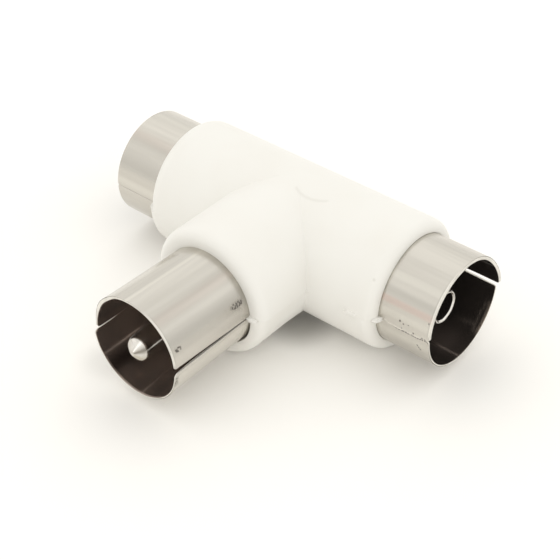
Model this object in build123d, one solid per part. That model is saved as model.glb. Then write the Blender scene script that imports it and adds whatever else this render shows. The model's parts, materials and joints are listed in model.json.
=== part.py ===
import os
from math import sqrt

from build123d import *

# Lengths are in millimetres. The three port axes cross at one point, and every distance below is
# taken from there: along X to the two sockets, along -Y to the plug. Z is up.

# Screening sheet: two pressed halves that meet on the level plane through the axes
sheet = 0.3
socket_radius = 5.2
plug_radius = 4.75
socket_barrel = 5.2  # how far it stands out of the body
plug_barrel = 9.1
seam = 0.06  # between the halves inside the body, and out to the rim on each socket's plug side
socket_slit_root = 0.25
socket_slit_mouth = 0.6
plug_slit_root = 0.42
plug_slit_mouth = 0.66
slit_depth = 2.0  # how far each slit runs on into the body before it has narrowed to the seam
plug_corner_round = 0.4
socket_corner_round = 0.14

# Moulded body: a plain round T with softened ends
body_wall = 1.1  # over the socket barrels
body_run = 13.1  # crossing to each socket end
body_branch = 12.2  # crossing to the plug end
end_round = 0.95
mould_shift = 0.25  # the lower mould half sits this far off the upper one, toward the left socket

# What locks the sheet in the body and the insulators in it: a bead around the plug barrel and a
# square dimple over and under each socket insulator, all with flanks at 45 degrees
bead_depth = 0.35
dimple_depth = 0.4
dimple_floor = 0.8

# Insulators, plain discs
disc = 2.6
socket_recess = 9.3  # rim to disc
plug_recess = 8.8

# Inner conductor: one strip with a rolled contact at each end, and a pin riveted through it
contact_radius = 1.55
contact_wall = 0.3
contact_setback = 1.7  # rim to contact
contact_root = 5.5
contact_seam = 0.35
contact_chamfer = 0.12
strap_inset = 0.02  # the flattened strap is this much thinner on each face than the rolled wall
neck_half = 0.75
pad_radius = 1.9
pin_radius = 1.15
shank_radius = 1.45  # through the disc and on to the strap
pin_proud = 0.2  # nose beyond the rim
nose_shoulder = 0.25
nose_shoulder_radius = 1.02
nose_cone = 0.5
nose_flat = 0.3
spigot_radius = 0.8
rivet_radius = 1.35
rivet_flat = 0.9
rivet_height = 0.45

# Mould flash on the parting plane
nib_length = 0.45
nib_height = 0.4
nib_depth = 0.55
gate_setback = 2.05  # socket end to the middle of the gate
gate_length = 1.1
gate_height = 0.24
gate_proud = 0.14

# Sizes that follow from those above
body_radius = socket_radius + body_wall
socket_reach = body_run + socket_barrel
plug_reach = body_branch + plug_barrel
socket_disc_face = socket_reach - socket_recess
plug_disc_face = plug_reach - plug_recess
socket_dimple = socket_disc_face - disc / 2
plug_bead = body_branch - bead_depth
gate_at = body_run - gate_setback
contact_mouth = socket_reach - contact_setback
contact_bore = contact_radius - contact_wall
strap_near = contact_bore + strap_inset
strap_far = contact_radius - strap_inset
nose_tip = plug_reach + pin_proud
seat = Pos(0, (nose_tip - body_radius) / 2, body_radius)  # puts the origin under the middle, on the floor
big = 4 * plug_reach


def turned(points):
    """A solid turned about X from a closed outline of (distance along, radius)."""
    return revolve(make_face(Polyline(*points, close=True)), Axis.X)


def down_branch(shape):
    """Lays something made along +X out toward the plug."""
    return Rot(0, 0, -90) * shape


def run_core(inward=0.0):
    """What fills the two socket barrels: their outside, or their inside when inward is the sheet."""
    fill = Rot(0, 90, 0) * Cylinder(socket_radius - inward, 2 * socket_reach)
    floor = dimple_floor + 2 * inward * (sqrt(2) - 1)
    height = 2 * dimple_depth
    wide = floor + 2 * height
    punch = Rot(-90, 0, 0) * Wedge(wide, height, wide, height, height, height + floor, height + floor)
    tip = socket_radius - inward - dimple_depth
    punch = Pos(0, 0, tip + height / 2) * punch
    punches = Pos(-socket_dimple, 0, 0) * punch + Pos(socket_dimple, 0, 0) * punch
    return fill - punches - mirror(punches, Plane.XY)


def branch_core(inward=0.0):
    """The same for the plug barrel."""
    flat = plug_radius - inward
    depth = bead_depth + inward * (sqrt(2) - 1)
    outline = [
        (0, 0),
        (0, flat),
        (plug_bead - depth, flat),
        (plug_bead, flat - depth),
        (plug_bead + depth, flat),
        (plug_reach, flat),
        (plug_reach, 0),
    ]
    return down_branch(turned(outline))


def slit(reach, root, mouth, body_end):
    """Outline of a slit seen from the side: it widens from the seam inside the body to the rim."""
    start = body_end - slit_depth
    past = reach + sheet
    upper_edge = [(start, seam / 2), (body_end, root / 2), (reach, mouth / 2), (past, mouth / 2)]
    lower_edge = [(along, -height) for along, height in reversed(upper_edge)]
    return Plane.XZ * make_face(Polyline(*upper_edge, *lower_edge, close=True))


def at_rim(edge, past_rim, height):
    """Whether a short edge across the sheet lies at its barrel's rim and at this height."""
    near = socket_corner_round / 2
    return abs(past_rim) < near and abs(edge.center().Z - height) < near


# Moulded body
run = Rot(0, 90, 0) * Cylinder(body_radius, 2 * body_run)
branch = down_branch(Pos(body_branch / 2, 0, 0) * Rot(0, 90, 0) * Cylinder(body_radius, body_branch))
tee = run + branch
tee = fillet(
    tee.edges().filter_by(GeomType.CIRCLE).filter_by(
        lambda edge: abs(abs(edge.center().X) - body_run) < end_round
        or abs(edge.center().Y + body_branch) < end_round
    ),
    end_round,
)
above = Pos(0, 0, big / 2) * Box(big, big, big)
below = Pos(0, 0, -big / 2) * Box(big, big, big)
moulding = (tee & above) + Pos(-mould_shift, 0, 0) * (tee & below)

# Flash at the plug side of each socket and on the stem's rounded end, and the trimmed gate
nib = Pos(0, -socket_radius - nib_depth / 2, 0) * Box(2 * nib_length, nib_depth, nib_height)
plug_nib = Pos(body_radius - nib_depth / 2, nib_depth / 2 - body_branch, 0) * Box(
    nib_depth, nib_depth, nib_height
)
gate = Pos(gate_at, -body_radius, 0) * Box(gate_length, 2 * gate_proud, gate_height)
moulding = moulding + Pos(body_run, 0, 0) * nib + Pos(-body_run, 0, 0) * nib + plug_nib + gate

# Screening sheet
run_outside = run_core()
run_inside = run_core(sheet)
branch_outside = branch_core()
branch_inside = branch_core(sheet)
outside = run_outside + branch_outside
pressed = outside - (run_inside + branch_inside)

far_slit = extrude(slit(socket_reach, socket_slit_root, socket_slit_mouth, body_run), -big / 2)
plug_slits = down_branch(
    extrude(slit(plug_reach, plug_slit_root, plug_slit_mouth, body_branch), big / 2, both=True)
)
upper = pressed & Pos(0, 0, seam / 2) * above
upper = upper - far_slit - mirror(far_slit, Plane.YZ) - plug_slits
short = upper.edges().filter_by(GeomType.LINE).filter_by(lambda edge: edge.length < 2 * sheet)
plug_corners = short.filter_by(
    lambda edge: at_rim(edge, edge.center().Y + plug_reach, plug_slit_mouth / 2)
)
upper = fillet(plug_corners, plug_corner_round)
short = upper.edges().filter_by(GeomType.LINE).filter_by(lambda edge: edge.length < 2 * sheet)
socket_corners = short.filter_by(
    lambda edge: at_rim(edge, abs(edge.center().X) - socket_reach, seam / 2)
    or at_rim(edge, abs(edge.center().X) - socket_reach, socket_slit_mouth / 2)
)
upper = fillet(socket_corners, socket_corner_round)
lower = mirror(upper, Plane.XY)

# Insulators fill the pressed tubes
contact_room = Rot(0, 90, 0) * Cylinder(contact_radius, big)
socket_slab = Pos(socket_disc_face - disc / 2, 0, 0) * Box(disc, big, big)
right_insulator = (socket_slab & run_inside) - contact_room
left_insulator = mirror(right_insulator, Plane.YZ)
shank_room = down_branch(Rot(0, 90, 0) * Cylinder(shank_radius, big))
plug_slab = Pos(0, disc / 2 - plug_disc_face, 0) * Box(big, disc, big)
plug_insulator = (plug_slab & branch_inside) - shank_room

# Strip: a rolled contact at each end, open along the plug side, joined by a flat strap
rolled = turned(
    [
        (contact_root, contact_bore),
        (contact_root, contact_radius),
        (contact_mouth, contact_radius),
        (contact_mouth, contact_bore + contact_chamfer),
        (contact_mouth - contact_chamfer, contact_bore),
    ]
)
rolled = rolled - Pos(0, -contact_radius, 0) * Box(big, 4 * contact_wall, contact_seam)
strap_outline = Rectangle(2 * (contact_root + contact_wall), 2 * neck_half) + Circle(pad_radius)
strap_outline = strap_outline - Circle(spigot_radius)
strap = extrude(Plane.XZ.offset(-strap_far) * strap_outline, strap_far - strap_near)
strip = rolled + mirror(rolled, Plane.YZ) + strap

# Pin, turned with a bullet nose, its spigot riveted over behind the strap
nose_start = nose_tip - nose_cone - nose_shoulder
pin = down_branch(
    turned(
        [
            (nose_tip, 0),
            (nose_tip, nose_flat),
            (nose_tip - nose_cone, nose_shoulder_radius),
            (nose_start, pin_radius),
            (plug_disc_face, pin_radius),
            (plug_disc_face, shank_radius),
            (-strap_near, shank_radius),
            (-strap_near, spigot_radius),
            (-strap_far, spigot_radius),
            (-strap_far, rivet_radius),
            (-strap_far - rivet_height, rivet_flat),
            (-strap_far - rivet_height, 0),
        ]
    )
)

# One file for each piece
pieces = {
    "moulded_body": moulding - outside,
    "upper_shield": upper,
    "lower_shield": lower,
    "left_insulator": left_insulator,
    "right_insulator": right_insulator,
    "plug_insulator": plug_insulator,
    "socket_strip": strip,
    "plug_pin": pin,
}
os.makedirs("parts", exist_ok=True)
for name, piece in pieces.items():
    export_step(seat * piece, f"parts/{name}.step")
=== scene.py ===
import json
import math

import bmesh
import bpy
import numpy as np
from mathutils import Matrix, Vector

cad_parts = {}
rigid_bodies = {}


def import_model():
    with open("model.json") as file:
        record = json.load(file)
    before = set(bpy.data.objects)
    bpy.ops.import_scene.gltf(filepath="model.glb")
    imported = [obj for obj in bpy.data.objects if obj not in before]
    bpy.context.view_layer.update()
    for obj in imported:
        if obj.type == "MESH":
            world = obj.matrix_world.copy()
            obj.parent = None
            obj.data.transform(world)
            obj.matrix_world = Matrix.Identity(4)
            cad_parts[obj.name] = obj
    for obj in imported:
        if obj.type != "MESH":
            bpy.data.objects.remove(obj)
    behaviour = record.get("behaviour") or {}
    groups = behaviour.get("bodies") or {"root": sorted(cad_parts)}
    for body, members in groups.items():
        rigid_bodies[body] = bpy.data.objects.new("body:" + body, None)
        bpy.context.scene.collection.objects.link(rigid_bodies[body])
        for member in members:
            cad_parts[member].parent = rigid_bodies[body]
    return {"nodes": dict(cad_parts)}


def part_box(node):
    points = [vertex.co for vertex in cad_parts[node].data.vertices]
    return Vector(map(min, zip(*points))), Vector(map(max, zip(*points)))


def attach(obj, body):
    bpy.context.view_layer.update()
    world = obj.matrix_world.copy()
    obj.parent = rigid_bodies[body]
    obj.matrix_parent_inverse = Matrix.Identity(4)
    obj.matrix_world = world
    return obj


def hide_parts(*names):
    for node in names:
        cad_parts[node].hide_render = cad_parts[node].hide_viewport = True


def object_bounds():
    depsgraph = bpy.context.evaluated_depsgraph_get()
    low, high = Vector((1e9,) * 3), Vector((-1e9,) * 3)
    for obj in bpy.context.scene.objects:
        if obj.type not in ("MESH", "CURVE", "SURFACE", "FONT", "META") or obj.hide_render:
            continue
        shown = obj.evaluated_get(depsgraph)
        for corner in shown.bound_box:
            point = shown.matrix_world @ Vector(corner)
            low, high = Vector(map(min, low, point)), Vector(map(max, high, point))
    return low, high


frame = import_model()
cadLow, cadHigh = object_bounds()
mm = 0.001
nodes = frame["nodes"]
scene = bpy.context.scene
print("frame loaded:", ", ".join(sorted(nodes)))

# The three port axes cross at one point. Shapes are drawn in millimetres from there, along X and -Y
bodyRadius = (cadHigh.z - cadLow.z) / 2 / mm
crossing = Vector((0, cadHigh.y - bodyRadius * mm, cadLow.z + bodyRadius * mm))
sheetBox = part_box("upper_shield")
socketRadius = (sheetBox[1].z - crossing.z) / mm
socketReach = sheetBox[1].x / mm
plugReach = (crossing.y - sheetBox[0].y) / mm
stemReach = (crossing.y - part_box("moulded_body")[0].y) / mm
barrelStands = 5.2  # how far a socket barrel stands out of the body
bodyRun = socketReach - barrelStands


# Shader maths: a Flow is one socket, and sums on it add nodes
def operatorPair(operation):
    def straight(self, other):
        return self.math(operation, self, other)

    def reflected(self, other):
        return self.math(operation, other, self)

    return straight, reflected


class Flow:
    def __init__(self, tree, socket=None):
        self.tree = tree
        self.socket = socket

    def node(self, kind, settings=None, sockets=None, out=0):
        made = self.tree.nodes.new(kind)
        for name, value in (settings or {}).items():
            setattr(made, name, value)
        for name, value in (sockets or {}).items():
            if isinstance(value, Flow):
                self.tree.links.new(value.socket, made.inputs[name])
            else:
                made.inputs[name].default_value = value
        return Flow(self.tree, made.outputs[out] if made.outputs else None)

    def math(self, operation, *values):
        return self.node("ShaderNodeMath", {"operation": operation}, dict(enumerate(values)))

    __add__, __radd__ = operatorPair("ADD")
    __sub__, __rsub__ = operatorPair("SUBTRACT")
    __mul__, __rmul__ = operatorPair("MULTIPLY")
    __truediv__, __rtruediv__ = operatorPair("DIVIDE")
    __pow__, __rpow__ = operatorPair("POWER")

    def __neg__(self):
        return self.math("MULTIPLY", self, -1.0)

    def __abs__(self):
        return self.math("ABSOLUTE", self)

    def clipped(self):
        return self.math("MINIMUM", self.math("MAXIMUM", self, 0.0), 1.0)

    def ramp(self, low, high, lowTo=0.0, highTo=1.0):  # smooth step between two values
        return self.node("ShaderNodeMapRange", {"interpolation_type": "SMOOTHSTEP"}, {
            "Value": self, "From Min": low, "From Max": high, "To Min": lowTo, "To Max": highTo})

    def near(self, centre, reach):  # 1 at the centre, 0 from reach on
        return abs(self - centre).ramp(0.0, reach, 1.0, 0.0)

    def part(self, name):
        return self.node("ShaderNodeSeparateXYZ", None, {"Vector": self}, out="XYZ".index(name))

    def vector(self, x=0.0, y=0.0, z=0.0):
        return self.node("ShaderNodeCombineXYZ", None, {"X": x, "Y": y, "Z": z})

    def scaled(self, factor):
        return self.node("ShaderNodeVectorMath", {"operation": "SCALE"}, {0: self, "Scale": factor})

    def blend(self, factor, first, second):
        return self.node("ShaderNodeMix", {"data_type": "RGBA"}, {0: factor, 6: first, 7: second}, out=2)

    def mix(self, factor, colour):  # from this colour to the other
        return self.blend(factor, self, colour)


midTones = (0.35, 0.7)  # where most of a noise's values lie


def startMaterial(name):
    material = bpy.data.materials.new(name)
    material.use_nodes = True
    material.node_tree.nodes.clear()
    flow = Flow(material.node_tree)
    place = flow.node("ShaderNodeTexCoord", out=3)  # Object coordinates
    return material, flow, place


def endMaterial(flow, linked, fixed):
    shader = flow.node("ShaderNodeBsdfPrincipled", None, {**fixed, **linked})
    flow.node("ShaderNodeOutputMaterial", None, {"Surface": shader})


def noiseAt(flow, place, scale, detail, stretch=(1, 1, 1), turn=(0, 0, 0), shift=(0, 0, 0)):
    vector = flow.node("ShaderNodeMapping", None, {
        "Vector": place, "Scale": stretch, "Rotation": turn, "Location": shift})
    return flow.node("ShaderNodeTexNoise", None, {"Vector": vector, "Scale": scale, "Detail": detail})


def bumpFrom(flow, height, distance, strength):
    return flow.node("ShaderNodeBump", None, {
        "Height": height, "Distance": distance * mm, "Strength": strength})


def attributesOf(flow, *names):  # numbers stored with the mesh's points
    return [flow.node("ShaderNodeAttribute", {"attribute_name": name}, out=2) for name in names]


# Meshes
def toFrame(points):
    return np.asarray(points, float) * mm + np.array(crossing)


def gridFaces(rows, columns, start=0, closed=False):
    faces = []
    last = columns if closed else columns - 1
    for i in range(rows - 1):
        for j in range(last):
            k = (j + 1) % columns
            faces.append((start + i * columns + j, start + i * columns + k,
                          start + (i + 1) * columns + k, start + (i + 1) * columns + j))
    return faces


def markSharp(bm, degrees):
    for face in bm.faces:
        face.smooth = True
    for edge in bm.edges:
        if len(edge.link_faces) == 2 and edge.calc_face_angle(0) > math.radians(degrees):
            edge.smooth = False


def placed(name, data):  # a new object in the scene
    made = bpy.data.objects.new(name, data)
    scene.collection.objects.link(made)
    return made


def buildMesh(name, points, faces, materials, sharp, slots=None, layers=None):
    weld, sliver = 4e-7, 2e-7  # points closer than this are merged, edges shorter than this go
    bm = bmesh.new()
    for point in toFrame(points):
        bm.verts.new(point)
    bm.verts.ensure_lookup_table()
    for layerName, values in (layers or {}).items():
        layer = bm.verts.layers.float.new(layerName)
        for vert, value in zip(bm.verts, values):
            vert[layer] = float(value)
    for index, face in enumerate(faces):
        try:
            made = bm.faces.new([bm.verts[i] for i in face])
            made.material_index = slots[index] if slots is not None else 0
        except ValueError:
            pass  # the same face twice where two patches meet
    bmesh.ops.remove_doubles(bm, verts=bm.verts, dist=weld)
    bmesh.ops.dissolve_degenerate(bm, edges=bm.edges, dist=sliver)
    bmesh.ops.recalc_face_normals(bm, faces=bm.faces)
    markSharp(bm, sharp)
    mesh = bpy.data.meshes.new(name)
    bm.to_mesh(mesh)
    bm.free()
    for material in materials:
        mesh.materials.append(material)
    return placed(name, mesh)


def standsFor(piece, slot, *cadNodes):
    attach(piece, "root")
    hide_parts(*cadNodes)


# Geometry Nodes: each tree takes one mesh and named sizes, and gives one mesh
def startTree(name, floats, wholes=()):
    tree = bpy.data.node_groups.new(name, "GeometryNodeTree")
    sockets = [("Geometry", "NodeSocketGeometry")]
    sockets += [(socketName, "NodeSocketFloat") for socketName in floats]
    sockets += [(socketName, "NodeSocketInt") for socketName in wholes]
    for socketName, kind in sockets:
        tree.interface.new_socket(socketName, in_out="INPUT", socket_type=kind)
    tree.interface.new_socket("Geometry", in_out="OUTPUT", socket_type="NodeSocketGeometry")
    flow = Flow(tree)
    return tree, flow, [flow.node("NodeGroupInput", out=index) for index in range(len(sockets))]


def storedIn(flow, name, kind="FLOAT"):
    return flow.node("GeometryNodeInputNamedAttribute", {"data_type": kind}, {"Name": name})


def grownFrom(mesh, tree, values, name):  # the tree's result on this mesh, as a plain object
    carrier = placed(name, mesh)
    modifier = carrier.modifiers.new(name, "NODES")
    modifier.node_group = tree
    for item in tree.interface.items_tree:
        if item.in_out == "INPUT" and item.name in values:
            modifier[item.identifier] = values[item.name]
    depsgraph = bpy.context.evaluated_depsgraph_get()
    result = bpy.data.meshes.new_from_object(carrier.evaluated_get(depsgraph))
    carrier.modifiers.clear()
    given = list(result.materials)
    kept = [material for material in given if material]  # the tree leaves an empty first slot
    slots = []
    for face in result.polygons:
        material = given[face.material_index]
        slots.append(kept.index(material) if material else 0)
    result.materials.clear()
    for material in kept:
        result.materials.append(material)
    result.polygons.foreach_set("material_index", slots)
    carrier.data = result
    result.name = name
    return carrier


# White plastic of the body
plastic = {
    "lit": (0.835, 0.826, 0.792, 1), "shade": (0.82, 0.806, 0.767, 1),
    "marksAndShade": (0.55, 0.53, 0.48, 1), "roughness": 0.42,
    "cloud": (160.0, 2.0), "grain": (5200.0, 2.0),  # scale and detail
    # a faint curved line on the crown, its darkness painted shade, drawn on the plug's side only: centre X
    # and Y, radius, from X, to X, half width
    "arc": (2.78, 1.29, 3.25, 1.3, 4.5, 0.26), "arcFade": 0.3,
    "crown": (3, 4),  # the line fades in between these heights over the axes
    "specks": [((12.6, -5.11, 3.68), 0.2, 0.5), ((-6.95, -6.16, 1.32), 0.16, 0.4)],  # place, radius, how dark
}


def makePlastic():
    material, flow, place = startMaterial("mouldedPlastic")
    cloud = noiseAt(flow, place, *plastic["cloud"])
    grain = noiseAt(flow, place, *plastic["grain"])
    colour = flow.blend(cloud.ramp(*midTones), plastic["lit"], plastic["shade"])
    x, y, z = (place.part(axis) for axis in "XYZ")
    centreX, centreY, radius, fromX, toX, halfWidth = (value * mm for value in plastic["arc"])
    fade = plastic["arcFade"] * mm
    up = y - crossing.y - centreY
    fromCentre = ((x - centreX) ** 2.0 + up ** 2.0) ** 0.5
    ends = x.ramp(fromX - fade, fromX) * x.ramp(toX, toX + fade, 1.0, 0.0)
    plugSide = (-up).ramp(0.0, 0.2 * mm)
    crown = z.ramp(*(crossing.z + height * mm for height in plastic["crown"]))
    line = fromCentre.near(radius, halfWidth) * ends * plugSide * crown
    specks = 0.0
    for at, radius, dark in plastic["specks"]:
        centre = crossing + Vector(at) * mm
        away = ((x - centre.x) ** 2.0 + (y - centre.y) ** 2.0 + (z - centre.z) ** 2.0) ** 0.5
        specks = away.ramp(0.4 * radius * mm, radius * mm, dark, 0.0) + specks
    # painted shade along the curved line, and dark specks
    colour = colour.mix((line * 0.2 + specks * 0.6).clipped(), plastic["marksAndShade"])
    normal = bumpFrom(flow, grain * 0.2 + cloud * 0.35 - (line + specks) * 1.2, 0.03, 0.6)
    rough = cloud * 0.10 + grain * 0.06 + plastic["roughness"] - 0.08
    endMaterial(flow, {"Base Color": colour, "Roughness": rough, "Normal": normal},
                {"IOR": 1.46, "Subsurface Weight": 0.0, "Coat Weight": 0.0})
    return material


mouldedPlastic = makePlastic()
print("plastic ready")

# Moulded body: a round T, its lower mould half a quarter millimetre off the upper
body = {
    "endRound": 0.95,
    "bore": socketRadius + 0.01, "stemBore": 4.76,
    "lipDepth": 1.2,  # from each end to the bore's first row behind the lip
    "lowerShift": -0.25, "shiftTurn": 0.5,  # the shift comes in over this many degrees
    "slides": 0.2, "slidesFrom": 7.0, "slidesOver": 2.0,  # the run's ends sit to the right of the stem
    "partingRidge": 0.012, "ridgeHalf": 0.45,  # height, and half width in degrees
    "creaseRound": 0.03,
    "creaseBand": (0.60, 0.04),  # along the run and along the stem, on the lower half
    "creaseFollows": 0.45,  # the crease takes less of the shift
    "stemGap": 0.2, "gapTurn": 62,  # a gap has opened under the plug barrel, over so many degrees
    "gateAt": 11.0, "gateLength": 1.05, "gateHeight": 0.38, "gateProud": 0.2,
    "gateSoft": (0.08, 0.06),  # its edges, along and up
    "meets": 7.2,  # how far out from the crossing the columns stop following the crease
}


def softStep(value, edge, width):
    t = np.clip((value - edge) / width + 0.5, 0, 1)
    return t * t * (3 - 2 * t)


def portProfile(reach, bore, extra=()):  # distance along, radius, and 1 on the outside
    end = body["endRound"]
    outerAt = sorted(set(np.round(np.linspace(body["meets"], reach - end, 14), 3)) | set(extra))
    outer = [(s, bodyRadius, 1) for s in outerAt]
    turn = np.radians(np.linspace(11.25, 90, 8))
    outer += [(reach - end + end * math.sin(t), bodyRadius - end + end * math.cos(t), 1) for t in turn]
    lip = [(reach, bore + 0.05, 0.0), (reach - 0.015, bore + 0.015, 0.0), (reach - 0.05, bore, 0.0)]
    inner = [(s, bore, 0.0) for s in np.linspace(reach - body["lipDepth"], body["meets"] + 0.6, 4)]
    return np.array(outer + lip + inner)


def shifted(columns, lower):  # a column is x, y, z, and how far it follows the lower half's shift
    grid = np.stack([np.concatenate(part, axis=1) for part in zip(*columns)], axis=-1)
    slid = np.clip((np.abs(grid[..., 0]) - body["slidesFrom"]) / body["slidesOver"], 0, 1)
    grid[..., 0] += body["slides"] * slid
    grid[..., 0] += body["lowerShift"] * lower * grid[..., 3]
    return grid


def makeBody():
    # rows go from the crown down to the keel, closest at the parting line
    nearParting = [85.5, 86.5, 87.4, 88.0, 88.5, 88.9, 89.25, 89.5, 89.75]
    upperRows = list(np.linspace(0, 84, 40)) + nearParting
    angles = np.radians(upperRows + [90.0] + [180 - a for a in reversed(upperRows)])[:, None]
    degrees = np.degrees(angles)
    sine, cosine = np.sin(angles), np.cos(angles)
    ones = np.ones_like(angles)
    lower = softStep(degrees, 90.0, body["shiftTurn"])
    ridge = body["partingRidge"] * np.clip(1 - np.abs(degrees - 90) / body["ridgeHalf"], 0, 1)
    besideGate = np.array([0.1, 0.3, 0.5, 0.56, 0.62, 0.72])
    gateSpots = np.round(body["gateAt"] + np.concatenate([-besideGate[::-1], besideGate]), 3)
    runSide = portProfile(bodyRun, body["bore"], tuple(gateSpots))
    stemSide = portProfile(stemReach, body["stemBore"])
    across = np.linspace(0, 1, 14)[1:-1]
    start, bore = body["meets"], body["bore"]
    width, inside = bodyRadius * sine, bore * sine
    high, highInside = bodyRadius * cosine, bore * cosine
    points, faces, count = [], [], 0

    def wall(s, r, isOuter, front):  # the ridge and the gate stand out of the outside only
        lift = ridge * isOuter
        if front:
            softAlong, softUp = body["gateSoft"]
            beside = softStep(np.abs(s - body["gateAt"]), body["gateLength"] / 2, softAlong)
            overOrUnder = softStep(np.abs(high), body["gateHeight"] / 2, softUp)
            gate = body["gateProud"] * (1 - beside) * (1 - overOrUnder)
            uneven = 0.85 + 0.25 * np.sin(s * 37.0) * np.sin(s * 11.0 + 1.3)  # where it was trimmed
            lift = np.maximum(lift, gate * uneven * isOuter)
        return r + lift

    for side in (1, -1):
        columns = []

        def add(x, y, z, follows):
            columns.append((x * ones * side, y * ones, z * ones, follows * ones))

        for s, r, isOuter in runSide:
            radius = wall(s, r, isOuter, side > 0)
            add(s, -radius * sine, radius * cosine, 1)
        for t in across:
            add(start + t * (inside - start), -inside, highInside, 0)
        add(inside, -inside, highInside, 0)
        for t in across[::-1]:
            add(inside, -(start + t * (inside - start)), highInside, 0)
        for s, r, isOuter in stemSide[::-1]:
            radius = wall(s, r, isOuter, False)
            if side > 0 and not isOuter:
                turned = np.clip((degrees - 90) / body["gapTurn"], 0, 1)
                radius = radius + body["stemGap"] * np.sin(np.pi * turned)
            add(radius * sine, -s, radius * cosine, isOuter)
        # the crease where stem and run meet, wider on the lower half
        runBand, stemBand = ((body["creaseRound"] * (1 - lower) + band * lower) * sine ** 1.5
                             for band in body["creaseBand"])
        slack = 1 - body["creaseFollows"]
        for t in across:
            add(width, -(start + t * (width + stemBand - start)), high, 1 - slack * t)
        for turn in np.linspace(90, 0, 7):
            t = 1 - turn / 90
            x = runBand * ((1 - math.sin(math.radians(turn))) * (1 - lower) + t * lower)
            y = stemBand * ((1 - math.cos(math.radians(turn))) * (1 - lower) + (1 - t) * lower)
            add(width + x, -(width + y), high, 1 - slack)
        for t in across[::-1]:
            add(start + t * (width + runBand - start), -width, high, 1 - slack * t)
        grid = shifted(columns, lower)
        rows, wide = grid.shape[:2]
        points.append(grid[..., :3].reshape(-1, 3))
        faces += gridFaces(rows, wide, count, closed=True)
        count += rows * wide

    # the back of the run, out along one side, through the bore and back over the outside
    columns = []
    middle = np.concatenate([start * (1 - across), [0.0], -start * (1 - across[::-1])])
    for side in (1, -1):
        for s, r, isOuter in runSide if side > 0 else runSide[::-1]:
            radius = wall(s, r, isOuter, False)
            columns.append((s * ones * side, radius * sine, radius * cosine, ones))
        if side > 0:
            columns += [(x * ones, inside, highInside, 0 * ones) for x in middle]
        else:
            columns += [(x * ones, width, high, ones) for x in middle[::-1]]
    grid = shifted(columns, lower)
    rows, wide = grid.shape[:2]
    points.append(grid[..., :3].reshape(-1, 3))
    faces += gridFaces(rows, wide, count, closed=True)
    piece = buildMesh("mouldedBody", np.concatenate(points), faces, [mouldedPlastic], sharp=38.0)
    standsFor(piece, "moulded_body", "moulded_body")
    return piece


mouldedBody = makeBody()
print("body:", len(mouldedBody.data.polygons), "faces")

# Flash: small torn tabs where the mould halves met
flash = {
    "length": 1.1, "depth": 0.75, "height": 0.42, "ragged": 0.8, "seed": 4.0,
    # place, turn about Z, share of the full size
    "places": [((bodyRun + 0.22, -5.5, 0.0), 1.1, 1.0), ((0.05 - bodyRun, -5.45, -0.1), -1.1, 0.8),
               ((5.15, -stemReach - 0.05, 0.0), 0.15, 1.0)],
}


def flashTree(material):  # a ragged lump on each point
    tree, flow, given = startTree("flashTabs", ("Length", "Depth", "Height", "Ragged", "Seed"))
    points, length, depth, height, ragged, seed = given
    lump = flow.node("GeometryNodeMeshIcoSphere", None, {"Radius": 0.5, "Subdivisions": 4})
    bumps = flow.node("ShaderNodeTexNoise", {"noise_dimensions": "4D"}, {
        "W": seed, "Scale": 3.0, "Detail": 2.0})
    push = flow.node("GeometryNodeInputNormal").scaled((bumps - 0.5) * ragged)
    lump = flow.node("GeometryNodeSetPosition", None, {"Geometry": lump, "Offset": push})
    size = flow.vector(length, depth, height).scaled(storedIn(flow, "share"))
    turn = storedIn(flow, "turn", "FLOAT_VECTOR")
    tabs = flow.node("GeometryNodeInstanceOnPoints", None, {
        "Points": points, "Instance": lump, "Rotation": turn, "Scale": size})
    tabs = flow.node("GeometryNodeRealizeInstances", None, {"Geometry": tabs})
    tabs = flow.node("GeometryNodeSetShadeSmooth", None, {"Geometry": tabs})
    tabs = flow.node("GeometryNodeSetMaterial", None, {"Geometry": tabs, "Material": material})
    flow.node("NodeGroupOutput", None, {0: tabs})
    return tree


def makeFlash():
    mesh = bpy.data.meshes.new("flashPlaces")
    mesh.from_pydata([crossing + Vector(at) * mm for at, turn, share in flash["places"]], [], [])
    mesh.attributes.new("turn", "FLOAT_VECTOR", "POINT")
    mesh.attributes.new("share", "FLOAT", "POINT")
    for index, (at, turn, share) in enumerate(flash["places"]):  # by name, because new() moves the others
        mesh.attributes["turn"].data[index].vector = (0, 0, turn)
        mesh.attributes["share"].data[index].value = share
    values = {"Length": flash["length"] * mm, "Depth": flash["depth"] * mm, "Height": flash["height"] * mm,
              "Ragged": flash["ragged"], "Seed": flash["seed"]}
    piece = grownFrom(mesh, flashTree(mouldedPlastic), values, "mouldFlash")
    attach(piece, "root")
    return piece


mouldFlash = makeFlash()
print("flash:", len(mouldFlash.data.polygons), "faces")

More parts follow.
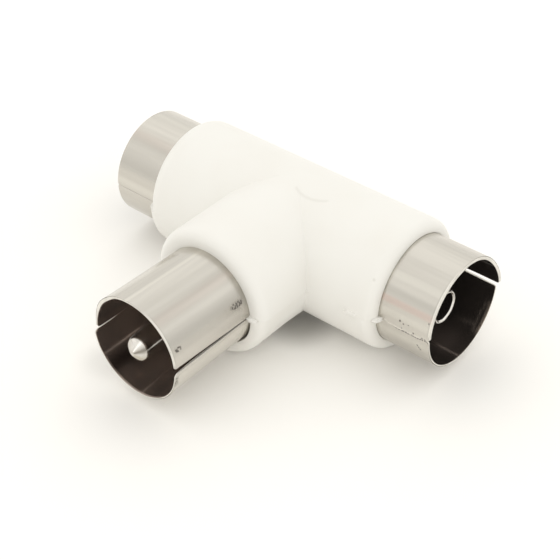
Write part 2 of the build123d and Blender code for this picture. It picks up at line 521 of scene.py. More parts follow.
# Nickel plated sheet. Ports are 0 right, 1 left, 2 plug, and degrees count round from the near seam
nickel = {
    "bright": (0.63, 0.605, 0.555, 1), "dull": (0.545, 0.52, 0.475, 1), "pinkReflection": (0.60, 0.49, 0.44, 1),
    "deep": (0.43, 0.415, 0.38, 1), "tableReflectionTone": (0.76, 0.735, 0.68, 1), "darkMarkAndShade": (0.07, 0.06, 0.055, 1),
    "pale": (0.70, 0.68, 0.62, 1), "rimHighlight": (0.84, 0.82, 0.77, 1), "ridgeHighlight": (0.86, 0.83, 0.77, 1),
    "roughness": 0.24, "mmPerDegree": 0.087,  # round a barrel
    # painted reflections, as light, dark and pinkish bands round the barrels: port, degrees, half width, how
    # much
    "paintedHighlightBands": [(2, 95.5, 4.0, 0.9), (2, 119.0, 12.0, 0.5), (0, 48.6, 6.0, 0.9), (0, 12.0, 6.0, 0.9),
                   (0, -11.0, 9.0, 0.7), (1, 8.0, 6.0, 0.7), (1, 96.0, 12.0, 0.5)],
    "paintedShadeBands": [(2, 84.0, 7.0, 0.25), (2, 29.0, 20.0, 1.0), (2, 60.0, 16.0, 0.5), (2, 47.5, 7.5, 0.5),
                  (2, 73.5, 9.0, 0.4), (0, 66.0, 9.0, 0.3), (0, 33.0, 7.0, 0.6),
                  (1, 30.0, 18.0, 0.6), (1, 52.0, 26.0, 0.5)],
    "pinkReflectionBands": [(0, 24.0, 5.5, 1.5), (2, 55.0, 10.0, 0.3), (1, 62.0, 10.0, 0.3)],
    # port, how far out, degrees, half length, half width in degrees
    "hatchedPatches": [(2, 20.45, 20.3, 0.55, 3.8), (2, 13.3, 23.0, 1.05, 5.2)],
    # painted shade on the plug's rim below its slit, in the same columns
    "rimShadePatch": (2, 21.12, -12.0, 0.42, 11.0),
    "rims": [(0, socketReach), (2, plugReach)], "rimBand": 0.14,
    # port, how far out, degrees, radius
    "pits": [(0, 15.25, 8.3, 0.15), (0, 15.62, 6.6, 0.11), (0, 16.12, 7.6, 0.08), (0, 15.5, 1.0, 0.09),
             (0, 16.7, 1.8, 0.13), (0, 17.6, 0.9, 0.12), (0, 17.9, 0.7, 0.12), (0, 18.42, -3.6, 0.13),
             (0, 17.12, -11.0, 0.12), (0, 17.26, -13.2, 0.12), (0, 17.4, -15.4, 0.13), (0, 18.0, 19.2, 0.10),
             (2, 21.1, -6.0, 0.12)],
    "ridge": (0, 1.2),  # the pinched seam on the right socket: port, half width in degrees
}


def makeNickel():
    material, flow, place = startMaterial("nickelPlate")
    along, around, port = attributesOf(flow, "along", "around", "port")
    arcLength = around * nickel["mmPerDegree"]
    spread = flow.vector(along * 0.05, arcLength, port * 7.0)  # long streaks, each port its own
    band = noiseAt(flow, spread, 0.55, 2.0)
    streak = noiseAt(flow, spread, 2.2, 3.0)
    mottled = noiseAt(flow, place, 420.0, 3.0)
    hatch = noiseAt(flow, flow.vector(along, arcLength, port), 6.5, 2.0,
                    turn=(0, 0, 0.9), stretch=(1, 0.45, 1))

    def onPort(number):
        return port.near(float(number), 0.5)

    def bands(listed):
        total = 0.0
        for number, degrees, halfWidth, share in listed:
            total = around.near(degrees, halfWidth) * onPort(number) * share + total
        return total

    def patch(number, out, degrees, halfLength, halfWidth):
        return along.near(out, halfLength) * around.near(degrees, halfWidth) * onPort(number)

    # painted highlights and painted shade, in bands where the barrels reflect the studio
    light, dark, pinkReflection = (bands(nickel[key]) for key in ("paintedHighlightBands", "paintedShadeBands", "pinkReflectionBands"))
    shade = band.ramp(0.3, 0.7) * 0.5 + streak.ramp(0.25, 0.75) * 0.35 + dark * 0.7 - light * 0.8
    colour = flow.blend(shade.clipped(), nickel["bright"], nickel["dull"])
    # painted reflection of the table: the plug's lower half is painted lighter
    tableReflection = around.ramp(-7.0, -2.0, 1.0, 0.0) * port.ramp(1.4, 1.8)  # the plug's lower half shines more
    colour = colour.mix(dark.clipped() * 0.5, nickel["deep"]).mix(tableReflection * 0.75, nickel["tableReflectionTone"])
    # painted highlights go toward the pale tone, and a painted pinkish reflection tints its bands
    colour = colour.mix(light.clipped() * 0.5, nickel["pale"]).mix(pinkReflection.clipped() * 0.7, nickel["pinkReflection"])
    for number, reach in nickel["rims"]:  # each rim gets a painted highlight, with a painted dark line behind it
        here = onPort(number) * around.ramp(2.0, 9.0) * around.ramp(52.0, 82.0, 1.0, 0.0)
        rim = nickel["rimBand"]
        colour = colour.mix(here * along.near(reach - 1.5 * rim, 0.6 * rim) * 0.45, nickel["deep"])
        rimHighlight = here * along.ramp(reach - 1.1 * rim, reach - 0.8 * rim)
        colour = colour.mix(rimHighlight * 0.7, nickel["rimHighlight"])
    # fine dark hatching inside each listed patch, painted shade by the plug's rim, and single pits by the
    # near seam
    hatchedPatches = 0.0
    for hatchedPatch in nickel["hatchedPatches"]:
        hatchedPatches = patch(*hatchedPatch) + hatchedPatches
    marksAndShade = hatchedPatches.ramp(0.05, 0.45) * hatch.ramp(0.42, 0.54) * 1.2
    marksAndShade = marksAndShade + patch(*nickel["rimShadePatch"]) * hatch.ramp(0.35, 0.6, 0.35, 1.0)
    for number, out, degrees, radius in nickel["pits"]:
        away = ((along - out) ** 2.0 + ((around - degrees) * nickel["mmPerDegree"]) ** 2.0) ** 0.5
        marksAndShade = marksAndShade + away.ramp(0.35 * radius, radius, 0.9, 0.0) * onPort(number)
    # the pinched seam stands up in a wandering ridge, its top painted lighter as a highlight, with dark
    # dashes under it
    number, halfWidth = nickel["ridge"]
    wandering = around + (noiseAt(flow, along, 0.9, 3.0, shift=(5, 0, 0)) - 0.5) * 5.0
    ridge = wandering.near(0.4, halfWidth * 1.6) * onPort(number)
    dashes = wandering.near(-1.4, halfWidth) * onPort(number) * hatch.ramp(0.43, 0.50)
    marksAndShade = marksAndShade + dashes * along.ramp(14.4, 15.6) * 1.2
    colour = colour.mix((ridge * 0.7).clipped(), nickel["ridgeHighlight"])
    # dark marks, and the painted shade by the plug's rim, go toward one dark tone
    colour = colour.mix(marksAndShade.clipped() * 0.75, nickel["darkMarkAndShade"])
    normal = bumpFrom(flow, streak * 0.5 + mottled * 0.4 + ridge * 1.4 - marksAndShade * 1.5, 0.03, 0.3)
    rough = streak * 0.06 + mottled * 0.08 + marksAndShade.clipped() * 0.3 + nickel["roughness"] - 0.07
    endMaterial(flow, {"Base Color": colour, "Roughness": rough, "Normal": normal}, {"Metallic": 1.0})
    return material


# The barrels' insides are painted dark brown for the shade inside them, with what they reflect painted in
innerWall = {
    "run": (0.085, 0.072, 0.064, 1), "plug": ((0.27, 0.215, 0.185, 1), (0.22, 0.175, 0.15, 1)),
    "paintedWarmReflection": (0.56, 0.44, 0.37, 1), "paintedPinReflection": (0.05, 0.035, 0.03, 1),
    "paintedSocketReflection": (0.26, 0.21, 0.185, 1), "sliver": (0.55, 0.46, 0.39, 1),
}


def makeInnerWall():
    material, flow, place = startMaterial("shadedWall")
    mottled = noiseAt(flow, place, 380.0, 3.0)
    along, around, port = attributesOf(flow, "along", "around", "port")
    inPlug, inRight = port.ramp(1.2, 1.8), port.ramp(0.2, 0.8, 1.0, 0.0)
    plugTone = flow.blend(mottled.ramp(*midTones), *innerWall["plug"])
    colour = flow.blend(inPlug, innerWall["run"], plugTone)
    # a painted dark reflection of the pin as a band in the plug, a painted warm reflection deeper in the
    # plug, and painted reflections in the right socket, one a sliver at its rim
    dark = around.near(-131.0, 19.0) * inPlug
    paintedWarmReflection = along.ramp(17.2, 20.6, 1.0, 0.0) * (1.0 - around.near(-122.0, 22.0)) * inPlug
    paintedSocketReflection = around.near(-96.0, 36.0) * inRight * along.ramp(16.3, 17.8, 1.2, 0.45)
    sliver = around.near(-139.0, 26.0) * along.ramp(18.0, 18.1) * inRight
    colour = colour.mix(paintedWarmReflection * 0.8, innerWall["paintedWarmReflection"]).mix(dark * 0.85, innerWall["paintedPinReflection"])
    colour = colour.mix(paintedSocketReflection * 0.8, innerWall["paintedSocketReflection"]).mix(sliver * 0.8, innerWall["sliver"])
    endMaterial(flow, {"Base Color": colour, "Roughness": mottled * 0.08 + 0.09,
                       "Normal": bumpFrom(flow, mottled, 0.02, 0.3)}, {"Metallic": 0.75})
    return material


cutEdge = {"bright": (0.80, 0.775, 0.72, 1), "dull": (0.66, 0.64, 0.59, 1),
           "roughness": 0.38, "metallic": 0.45}


def makeCutEdge():
    material, flow, place = startMaterial("shearedEdge")
    mottled = noiseAt(flow, place, 900.0, 3.0)
    colour = flow.blend(mottled.ramp(*midTones), cutEdge["bright"], cutEdge["dull"])
    endMaterial(flow, {"Base Color": colour, "Roughness": mottled * 0.15 + cutEdge["roughness"],
                       "Normal": bumpFrom(flow, mottled, 0.02, 0.4)}, {"Metallic": cutEdge["metallic"]})
    return material


nickelPlate = makeNickel()
shadedWall = makeInnerWall()
shearedEdge = makeCutEdge()
print("metal ready")

# Screening sheet: two pressed halves, each with half of all three barrels
sheet = {
    "thick": 0.3, "bevel": 0.06, "seam": 0.06, "plugRadius": 4.75,
    "socketSlit": (0.25, 0.6), "plugSlit": (0.14, 0.56), "slitDepth": 2.0,  # widths at root and rim
    "cornerRound": 0.45, "notchRound": 0.16, "socketCorner": 0.16, "upperCorner": 0.26,
    "stopsAt": 5.9,  # how far out from the crossing the barrels' columns start
    "springs": 0.25, "springsFrom": 10.2,  # how far each half stands off at the plug's rim
    # the wall near the rims, on the inside: the plug, each half of the run, and over what length
    "thinned": 0.12, "runThinned": {1: -0.08, -1: 0.09}, "thinsOver": 2.0,
    # both socket barrels sit this far toward the right in the body
    "runSlides": 0.235, "slidesFrom": 6.0, "slidesOver": 2.0,
    "plugLeans": (-0.21, -0.15),  # X and Z at the rim
    # the right rim's far corner is pulled out. Each "At" is a middle and a width, in degrees
    "cornerPull": 0.38, "pullFrom": 15.5, "pullOver": 2.8, "pullAt": (62, 50),
    # the upper half is pinched at the plug's left slit, and its wall is thicker there on the inside
    "dent": 0.34, "dentFrom": 14.0, "dentAt": (64, 46), "bulge": 0.10, "bulgeAt": (24, 11),
    "pinchThickens": 0.2, "thickensAt": (22, 30), "pinchFades": 0.85, "fadesAt": (72, 30),
    # that slit has almost closed: half its width above and below the seam, at these distances
    "leftRound": 0.34, "leftSpots": [10.2, 12.2, 16.0, 18.3, 19.3, 20.3, plugReach],
    "leftEdges": {1: [0.03, 0.03, -0.02, -0.08, -0.06, -0.02, 0.02],
                  -1: [0.03, 0.03, 0.09, 0.24, 0.36, 0.42, 0.46]},
}


def roundedOff(along, reach, corner):  # how far a rounded corner has drawn back
    past = np.clip(along - (reach - corner), 0, corner)
    return corner - np.sqrt(np.maximum(corner ** 2 - past ** 2, 0))


def gapAt(along, reach, root, rim, bodyEnd, corner, sprung):
    spots = [bodyEnd - sheet["slitDepth"], bodyEnd, reach]
    half = np.interp(along, spots, [sheet["seam"] / 2, root / 2, rim / 2])
    return half - sprung + roundedOff(along, reach, corner)


def leftGapAt(along, sign):
    half = np.interp(along, sheet["leftSpots"], sheet["leftEdges"][sign])
    return half - springAt(along) + roundedOff(along, plugReach, sheet["leftRound"])


def springAt(along):
    t = np.clip((along - sheet["springsFrom"]) / (plugReach - sheet["springsFrom"]), 0, 1)
    return sheet["springs"] * t ** 1.3


def portColumns(reach):  # distances along a barrel from its rim inwards, and 1 at the rim itself
    corner = sheet["cornerRound"]
    turn = np.radians([90, 75, 60, 45, 30, 15, 0])
    rim = [reach - corner + corner * math.sin(t) for t in turn]
    rim[0] = reach - sheet["bevel"]
    rest = np.linspace(reach - corner, sheet["stopsAt"] + 0.5, 26)[1:]
    spots = np.concatenate([[reach], rim, rest])
    return spots, np.array([1.0] + [0.0] * (len(spots) - 1))


def skinGrid(sign, patch, outer):  # x, y, z, along, around and port for one skin of one patch
    bevel, stop = sheet["bevel"], sheet["stopsAt"]
    # rows go from the crown to the slit, the last two for its bevel
    rowShare = np.concatenate([np.linspace(0, 0.94, 36), [0.96, 0.975, 0.99, 1.0, 1.0]])[:, None]
    edgeRow = np.zeros_like(rowShare)
    edgeRow[-1] = 1
    across = np.linspace(0, 1, 10)[1:-1]
    inward = 0 if outer else sheet["thick"]
    tuck = 0.6 * bevel if outer else -bevel
    shelf = bevel * (1 - edgeRow)
    columns = []

    def put(x, y, z, along, around, port):
        ones = np.ones_like(x)
        columns.append(np.stack([x, y, z, along * ones, around, port * ones], axis=-1))

    def ring(spots, edges, radius, gap, thinned):
        over = sheet["thinsOver"]
        thinner = (0 if outer else thinned) * np.clip((spots - spots.max() + over) / over, 0, 1)
        r = radius - inward + thinner[None, :] - tuck * np.maximum(edgeRow, edges[None, :])
        return r, rowShare * np.arccos(np.clip((gap[None, :] + shelf) / r, -1, 1))

    def putSocket(side, front, spots, edges, gap):
        r, angle = ring(spots, edges, socketRadius, gap, sheet["runThinned"][sign])
        out = spots[None, :]
        put(side * out * np.ones_like(angle), front * r * np.sin(angle), sign * r * np.cos(angle),
            out, sign * (90 + front * np.degrees(angle)), 0 if side > 0 else 1)

    spots, edges = portColumns(socketReach)
    tight = sheet["seam"] * 0.3
    closed = gapAt(spots, socketReach, tight, tight, bodyRun, sheet["notchRound"], 0)
    opened = gapAt(spots, socketReach, *sheet["socketSlit"], bodyRun, sheet["socketCorner"], 0)
    middleRadius = socketRadius - inward - tuck * edgeRow
    middleAngle = rowShare * np.arccos((sheet["seam"] / 2 + shelf) / middleRadius)
    width = middleRadius * np.sin(middleAngle)
    lift = sign * middleRadius * np.cos(middleAngle)

    if patch == "back":
        putSocket(1, 1, spots, edges, opened)
        half = stop * (1 - np.concatenate([[0], across]))
        xs = np.concatenate([half, [0.0], -half[::-1]])
        ones = np.ones((1, len(xs)))
        put(xs[None, :] * np.ones_like(width), width * ones, lift * ones, abs(xs)[None, :],
            sign * (90 + np.degrees(middleAngle) * ones), 0)
        putSocket(-1, 1, spots[::-1], edges[::-1], opened[::-1])
        return np.concatenate(columns, axis=1)

    side = -1 if patch == "left" else 1
    putSocket(side, -1, spots, edges, closed)
    steps = np.concatenate([[0.0], across, [1.0]])[None, :]
    ones = np.ones_like(steps)
    put(side * (stop + steps * (width - stop)), -width * ones, lift * ones, stop,
        sign * (90 - np.degrees(middleAngle) * ones), 0)
    back = steps[:, ::-1][:, 1:]
    ones = np.ones_like(back)
    put(side * width * ones, -(stop + back * (width - stop)), lift * ones, stop,
        sign * (90 - np.degrees(middleAngle) * ones), 0)

    spots, edges = portColumns(plugReach)
    corner = sheet["upperCorner"] if sign > 0 else sheet["cornerRound"]
    slit = gapAt(spots, plugReach, *sheet["plugSlit"], stemReach, corner, springAt(spots))
    if side < 0:
        slit = leftGapAt(spots, sign)
    r, angle = ring(spots[::-1], edges[::-1], sheet["plugRadius"], slit[::-1], sheet["thinned"])
    out = spots[::-1][None, :]
    if side < 0 and sign > 0:
        turned = np.degrees(angle)
        pinched = np.clip((out - sheet["dentFrom"]) / (plugReach - sheet["dentFrom"]), 0, 1) ** 1.5
        middle, wide = sheet["bulgeAt"]
        bulge = sheet["bulge"] * np.exp(-((turned - middle) / wide) ** 2)
        r = r + pinched * (bulge - sheet["dent"] * softStep(turned, *sheet["dentAt"]))
        if not outer:
            fade = 1 - sheet["pinchFades"] * softStep(turned, *sheet["fadesAt"])
            r = r - pinched * sheet["pinchThickens"] * softStep(turned, *sheet["thickensAt"]) * fade
    lean = np.clip((out - stemReach) / (plugReach - stemReach), 0, 1)
    leansX, leansZ = sheet["plugLeans"]
    put(side * r * np.sin(angle) + leansX * lean, -out * np.ones_like(angle),
        sign * (r * np.cos(angle) + springAt(out)) + leansZ * lean, out,
        sign * (90 - side * np.degrees(angle)), 2)
    return np.concatenate(columns, axis=1)


def settleSkin(skin, sign):  # the run's barrels slide, and one corner of the right rim is pulled out
    along, around, port = (skin[..., column] for column in (3, 4, 5))
    if sign > 0:
        pull = sheet["cornerPull"] * np.clip((along - sheet["pullFrom"]) / sheet["pullOver"], 0, 1)
        skin[..., 0] += pull * softStep(around - 90, *sheet["pullAt"]) * (port < 0.5)
    slid = np.clip((np.abs(skin[..., 0]) - sheet["slidesFrom"]) / sheet["slidesOver"], 0, 1)
    skin[..., 0] += sheet["runSlides"] * slid * (port < 1.5)


def makeHalf(name, sign, cadNode):  # sign is 1 for the upper half, -1 for the lower
    allPoints, allFaces, allSlots, count = [], [], [], 0
    layers = {"along": [], "around": [], "port": []}
    for patch in ("right", "left", "back"):
        outer, inner = skinGrid(sign, patch, True), skinGrid(sign, patch, False)
        rows, wide = outer.shape[:2]
        inStart = count + rows * wide
        for skin, start, slot in ((outer, count, 0), (inner, inStart, 1)):
            settleSkin(skin, sign)
            allPoints.append(skin[..., :3].reshape(-1, 3))
            for key, column in (("along", 3), ("around", 4), ("port", 5)):
                layers[key].append(skin[..., column].reshape(-1))
            made = gridFaces(rows, wide, start)
            allFaces += made
            allSlots += [slot] * len(made)
        last = (rows - 1) * wide
        rimPairs = [(last + j, last + j + 1) for j in range(wide - 1)]  # slits and seams
        for column in (0, wide - 1):  # rims
            rimPairs += [(i * wide + column, (i + 1) * wide + column) for i in range(rows - 1)]
        allFaces += [(count + i, count + j, inStart + j, inStart + i) for i, j in rimPairs]
        allSlots += [2] * len(rimPairs)
        count += 2 * rows * wide
    layers = {key: np.concatenate(parts) for key, parts in layers.items()}
    piece = buildMesh(name, np.concatenate(allPoints), allFaces, [nickelPlate, shadedWall, shearedEdge],
                      sharp=50.0, slots=allSlots, layers=layers)
    standsFor(piece, cadNode, cadNode)
    return piece


upperHalf = makeHalf("upperSheet", 1, "upper_shield")
lowerHalf = makeHalf("lowerSheet", -1, "lower_shield")
print("sheet halves:", len(upperHalf.data.polygons), len(lowerHalf.data.polygons), "faces")

# Pin, its nose painted with one highlight, a dark reflection beside it and two fainter painted reflections
pin = {
    "tip": plugReach + 0.2, "radius": 1.2, "shank": 1.45, "discFace": plugReach - 8.8,
    "spigot": 0.8, "strapNear": 1.27, "strapFar": 1.53, "sides": 48,
    "rivet": [(0.0, 1.35), (0.25, 1.22), (0.42, 0.8), (0.45, 0.0)],  # distance behind the strap, radius
    # distance back from the tip, radius
    "nose": [(0.05, 0.0), (0.04, 0.12), (0.0, 0.22), (0.012, 0.28), (0.06, 0.40), (0.21, 0.68), (0.32, 0.88),
             (0.42, 1.0), (0.52, 1.085), (0.65, 1.145), (0.82, 1.185), (1.0, 1.2)],
    "noseLength": 1.3,
    "leans": (-0.06, -0.36), "standsOut": 0.12,  # X and Z at the tip, and farther out
    "bright": (0.80, 0.78, 0.74, 1), "dull": (0.64, 0.61, 0.57, 1),
    # degrees round the nose, half width, how much, colour
    "paintedNoseReflections": [(64.0, 15.0, 0.95, (1.0, 0.99, 0.96, 1)), (28.0, 26.0, 0.9, (0.22, 0.20, 0.17, 1)),
              (-40.0, 45.0, 0.6, (0.56, 0.51, 0.38, 1)), (140.0, 55.0, 0.5, (0.58, 0.55, 0.51, 1))],
}


def makeTurned():
    material, flow, place = startMaterial("turnedNickel")
    rings = noiseAt(flow, place, 3000.0, 2.0, stretch=(0.05, 1.0, 0.05))
    spots = noiseAt(flow, place, 700.0, 3.0)
    around, nose = attributesOf(flow, "around", "nose")
    colour = flow.blend(spots.ramp(*midTones), pin["bright"], pin["dull"])
    # painted highlight and painted reflections round the nose
    for degrees, halfWidth, share, tone in pin["paintedNoseReflections"]:
        colour = colour.mix(around.near(degrees, halfWidth) * nose * share, tone)
    normal = bumpFrom(flow, rings * 0.6 + spots * 0.4, 0.02, 0.4)
    endMaterial(flow, {"Base Color": colour, "Roughness": spots * 0.15 + 0.12, "Normal": normal},
                {"Metallic": 1.0})
    return material


turnedNickel = makeTurned()


def makePin():
    tip, face, near, far = pin["tip"], pin["discFace"], -pin["strapNear"], -pin["strapFar"]
    outline = [(tip - s, r) for s, r in pin["nose"]]
    outline += [(s, pin["radius"]) for s in np.linspace(tip - 1.6, face + 0.05, 16)]
    outline += [(face, pin["shank"]), (near, pin["shank"]), (near, pin["spigot"]), (far, pin["spigot"])]
    outline += [(far - s, r) for s, r in pin["rivet"]]
    turns = np.linspace(0, 2 * math.pi, pin["sides"], endpoint=False)
    points = []
    for s, r in outline:
        lean = max(0.0, (s - face) / (tip - face))
        points += [(r * math.cos(t) + pin["leans"][0] * lean, -s - pin["standsOut"] * lean,
                    r * math.sin(t) + pin["leans"][1] * lean) for t in turns]
    faces = gridFaces(len(outline), pin["sides"], closed=True)
    onNose = [1.0 if s > tip - pin["noseLength"] else 0.0 for s, r in outline]
    layers = {"around": np.tile((np.degrees(turns) + 180) % 360 - 180, len(outline)),
              "nose": np.repeat(onNose, pin["sides"])}
    piece = buildMesh("plugPin", points, faces, [turnedNickel], sharp=40.0, layers=layers)
    standsFor(piece, "plug_pin", "plug_pin")
    return piece


plugPin = makePin()
print("pin:", len(plugPin.data.polygons), "faces")

# Insulators keep their solids and get a black plastic
black = {"tones": ((0.012, 0.011, 0.011, 1), (0.022, 0.019, 0.018, 1)), "roughness": 0.45,
         "discs": ("left_insulator", "right_insulator", "plug_insulator")}


def makeBlack():
    material, flow, place = startMaterial("blackPlastic")
    grain = noiseAt(flow, place, 900.0, 4.0)
    colour = flow.blend(grain.ramp(*midTones), *black["tones"])
    endMaterial(flow, {"Base Color": colour, "Roughness": grain * 0.2 + black["roughness"],
                       "Normal": bumpFrom(flow, grain, 0.03, 0.4)}, {})
    return material


blackPlastic = makeBlack()
for nodeName in black["discs"]:
    disc = nodes[nodeName].data
    disc.materials.clear()
    disc.materials.append(blackPlastic)
print("discs:", len(black["discs"]))

# Socket strip: a rolled contact at each end, joined by a flat strap. A contact runs from its root
# to its mouth, and the strap's middle is a round pad with a hole
contact = {"radius": 1.57, "wall": 0.26, "mouth": socketReach - 1.7, "root": 5.5, "seam": 0.5, "sides": 41,
           "chamfers": (0.06, 0.12),  # outside and inside of the mouth
           "facets": 0.012, "bendsFrom": 9.0, "bendY": -0.30, "bendZ": -0.22,
           "slide": 0.235, "slidesFrom": 6.0}
strap = {"near": 1.27, "far": 1.53, "reach": contact["root"] + 0.3, "half": 0.75, "pad": 1.9, "hole": 0.8,
         "sides": 96, "sharp": 40.0}


def rolledTree(metal, shaded):  # sweeps the wall's outline round an open arc, once for each end of the strip
    tree, flow, given = startTree("rolledContacts", (
        "Radius", "Seam", "Facets", "Bends From", "Mouth", "Bend Y", "Bend Z", "Slide", "Slides From"),
        ["Sides"])
    outline, radius, seam, facets, bendsFrom, mouth, bendY, bendZ, slide, slidesFrom, sides = given
    profile = flow.node("GeometryNodeMeshToCurve", None, {"Mesh": outline})
    gap = flow.math("ARCSINE", seam / (radius * 2.0))
    arc = flow.node("GeometryNodeCurveArc", {"mode": "RADIUS"}, {
        "Resolution": sides, "Radius": radius, "Start Angle": gap, "Sweep Angle": math.tau - gap * 2.0})
    arc = flow.node("GeometryNodeSetCurveNormal", {"mode": "Z_UP"}, {"Curve": arc})
    rolled = flow.node("GeometryNodeCurveToMesh", None, {
        "Curve": arc, "Profile Curve": profile, "Fill Caps": True})
    x, y, z = (flow.node("GeometryNodeInputPosition").part(axis) for axis in "XYZ")
    laid = flow.vector(z, -x, -y)  # along X, with the seam on the plug's side
    rolled = flow.node("GeometryNodeSetPosition", None, {"Geometry": rolled, "Position": laid})
    ends = flow.node("GeometryNodeMeshLine", {"mode": "OFFSET"}, {"Count": 2, "Offset": (0.0, 0.0, 0.0)})
    halfTurns = flow.vector(y=flow.node("GeometryNodeInputIndex") * math.pi)
    pair = flow.node("GeometryNodeInstanceOnPoints", None, {
        "Points": ends, "Instance": rolled, "Rotation": halfTurns})
    pair = flow.node("GeometryNodeRealizeInstances", None, {"Geometry": pair})
    # eight flats round it, a bend toward the mouth, and its place in the frame
    lean = flow.math("MAXIMUM", (abs(x) - bendsFrom) / (mouth - bendsFrom), 0.0) ** 1.4
    swell = flow.math("COSINE", flow.math("ARCTAN2", z, y) * 8.0) * facets
    slid = ((abs(x) - slidesFrom) / (2 * mm)).clipped() * slide
    offset = flow.vector(slid + crossing.x, y * swell + bendY * lean + crossing.y,
                         z * swell + bendZ * lean + crossing.z)
    pair = flow.node("GeometryNodeSetPosition", None, {"Geometry": pair, "Offset": offset})
    pair = flow.node("GeometryNodeSetShadeSmooth", None, {"Geometry": pair})
    isInner = flow.math("GREATER_THAN", storedIn(flow, "inner"), 0.9)
    pair = flow.node("GeometryNodeSetMaterial", None, {"Geometry": pair, "Material": metal})
    pair = flow.node("GeometryNodeSetMaterial", None, {
        "Geometry": pair, "Selection": isInner, "Material": shaded})
    flow.node("NodeGroupOutput", None, {0: pair})
    return tree


def makeContacts():
    root, mouth, wall = contact["root"], contact["mouth"], contact["wall"]
    outside, inside = contact["chamfers"]
    outline = [(s, 0.0, 0) for s in np.linspace(root, mouth - outside, 18)]
    outline += [(mouth, -outside, 0), (mouth, inside - wall, 0)]
    outline += [(s, -wall, 1) for s in np.linspace(mouth - inside, root, 12)]
    count = len(outline)
    mesh = bpy.data.meshes.new("contactWall")
    mesh.from_pydata([(out * mm, s * mm, 0) for s, out, inner in outline],
                     [(i, (i + 1) % count) for i in range(count)], [])
    layer = mesh.attributes.new("inner", "FLOAT", "POINT")
    for index, (s, out, inner) in enumerate(outline):
        layer.data[index].value = inner
    values = {"Radius": contact["radius"] * mm, "Seam": contact["seam"] * mm, "Facets": contact["facets"],
              "Bends From": contact["bendsFrom"] * mm, "Mouth": mouth * mm, "Bend Y": contact["bendY"] * mm,
              "Bend Z": contact["bendZ"] * mm, "Slide": contact["slide"] * mm,
              "Slides From": contact["slidesFrom"] * mm, "Sides": contact["sides"]}
    return grownFrom(mesh, rolledTree(turnedNickel, shadedWall), values, "rolledContacts")


def makeStrip():
    angles = np.linspace(0, 2 * math.pi, strap["sides"], endpoint=False)
    points, faces, n = [], [], strap["sides"]
    for y in (strap["near"], strap["far"]):  # a straight bar with a round pad and a hole in the middle
        for a in angles:
            c, s = max(abs(math.cos(a)), 1e-6), max(abs(math.sin(a)), 1e-6)
            r = max(strap["pad"], min(strap["reach"] / c, strap["half"] / s))
            points.append((r * math.cos(a), y, r * math.sin(a)))
        points += [(strap["hole"] * math.cos(a), y, strap["hole"] * math.sin(a)) for a in angles]
    for j in range(n):
        k = (j + 1) % n
        faces += [(j, k, n + k, n + j), (2 * n + j, 3 * n + j, 3 * n + k, 2 * n + k),
                  (j, 2 * n + j, 2 * n + k, k), (n + j, n + k, 3 * n + k, 3 * n + j)]
    piece = buildMesh("socketStrip", points, faces, [turnedNickel, shadedWall], sharp=strap["sharp"])
    contacts = makeContacts()
    bm = bmesh.new()
    bm.from_mesh(piece.data)
    bm.from_mesh(contacts.data)
    bmesh.ops.recalc_face_normals(bm, faces=bm.faces)
    markSharp(bm, strap["sharp"])
    bm.to_mesh(piece.data)
    bm.free()
    bpy.data.objects.remove(contacts)
    standsFor(piece, "socket_strip", "socket_strip")
    return piece


socketStrip = makeStrip()
print("strip:", len(socketStrip.data.polygons), "faces")

# Table, light and camera
studio = {
    "world": (1.0, 0.985, 0.945, 1), "worldStrength": 1.12, "horizonToTop": (0.95, 0.97),
    "table": ((1.0, 0.988, 0.966, 1), (0.99, 0.978, 0.956, 1)), "tableShade": (0.10, 0.09, 0.07, 1),
    "tableHalf": 1.5,  # metres
    # painted shadows on the table, at (X, Y), from and to how far, how much: first between stem and run,
    # then by the plug's mouth
    "shades": [(4.1, -4.4, 0.6, 4.2, 0.5), (-6.0, -19.4, 0.5, 3.6, 0.15)],
    # place, target, size in metres, power in watts
    "softboxes": {"overhead": ((-0.15, 0.15, 0.45), (0, 0, 0), 0.6, 0.16),
                  "leftFront": ((-0.40, -0.25, 0.25), (0, 0, 0.005), 0.3, 0.05),
                  "rightBack": ((0.35, 0.35, 0.30), (0, 0, 0.005), 0.3, 0.05)},
}


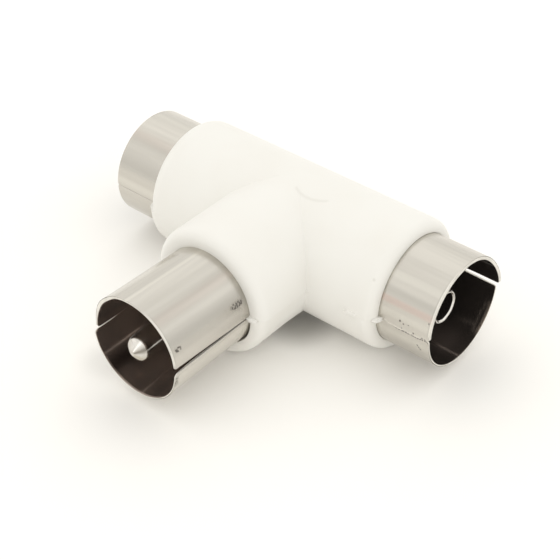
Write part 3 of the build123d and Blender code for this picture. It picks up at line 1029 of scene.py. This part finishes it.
def makeTable():
    material, flow, place = startMaterial("paleTable")
    colour = flow.blend(noiseAt(flow, place, 6.0, 2.0), *studio["table"])
    # painted shadows
    for atX, atY, core, reach, dark in studio["shades"]:
        x, y = place.part("X") - (crossing.x + atX * mm), place.part("Y") - (crossing.y + atY * mm)
        away = (x ** 2.0 + y ** 2.0) ** 0.5
        colour = colour.mix(away.ramp(core * mm, reach * mm, dark, 0.0), studio["tableShade"])
    endMaterial(flow, {"Base Color": colour}, {"Roughness": 0.6, "Specular IOR Level": 0.3})
    mesh = bpy.data.meshes.new("table")
    half = studio["tableHalf"]
    corners = [(-half, -half, 0), (half, -half, 0), (half, half, 0), (-half, half, 0)]
    mesh.from_pydata(corners, [], [(0, 1, 2, 3)])
    mesh.materials.append(material)
    table = placed("table", mesh)
    table.location.z = cadLow.z - 0.01 * mm


def makeSky():
    world = bpy.data.worlds.new("studio")
    world.use_nodes = True
    sky = Flow(world.node_tree)
    strength = sky.node("ShaderNodeTexCoord").part("Z").ramp(-0.05, 0.55, *studio["horizonToTop"])
    strength = strength * studio["worldStrength"]
    shell = world.node_tree.nodes["Background"]
    shell.inputs["Color"].default_value = studio["world"]
    world.node_tree.links.new(strength.socket, shell.inputs["Strength"])
    scene.world = world


def softbox(name, place, target, size, power):
    light = bpy.data.lights.new(name, "AREA")
    light.shape = "RECTANGLE"
    light.size = light.size_y = size
    light.energy = power
    lamp = placed(name, light)
    lamp.location = place
    lamp.rotation_euler = (Vector(target) - Vector(place)).to_track_quat("-Z", "Y").to_euler()


makeTable()
makeSky()
for boxName, settings in studio["softboxes"].items():
    softbox(boxName, *settings)

# Solved from the photograph, in degrees, millimetres of lens and metres
view = {"azimuth": 40.242, "elevation": 38.891, "roll": -0.624, "lens": 91.27,
        "place": (0.066670, -0.073652, 0.085150), "sensor": 36, "clipStart": 0.005}


def makeCamera():
    azimuth, elevation, roll = (math.radians(view[key]) for key in ("azimuth", "elevation", "roll"))
    level = math.cos(elevation)
    back = Vector((math.sin(azimuth) * level, -math.cos(azimuth) * level, math.sin(elevation)))
    right = (-back).cross(Vector((0, 0, 1))).normalized()
    up = right.cross(-back)
    rolledRight = right * math.cos(roll) + up * math.sin(roll)
    rolledUp = up * math.cos(roll) - right * math.sin(roll)
    camera = placed("camera", bpy.data.cameras.new("camera"))
    camera.data.lens = view["lens"]
    camera.data.sensor_width = view["sensor"]
    camera.data.clip_start = view["clipStart"]
    turned = Matrix((rolledRight, rolledUp, back)).transposed().to_4x4()
    camera.matrix_world = Matrix.Translation(view["place"]) @ turned
    scene.camera = camera


makeCamera()
scene.view_settings.view_transform = "Standard"
print("stage set")
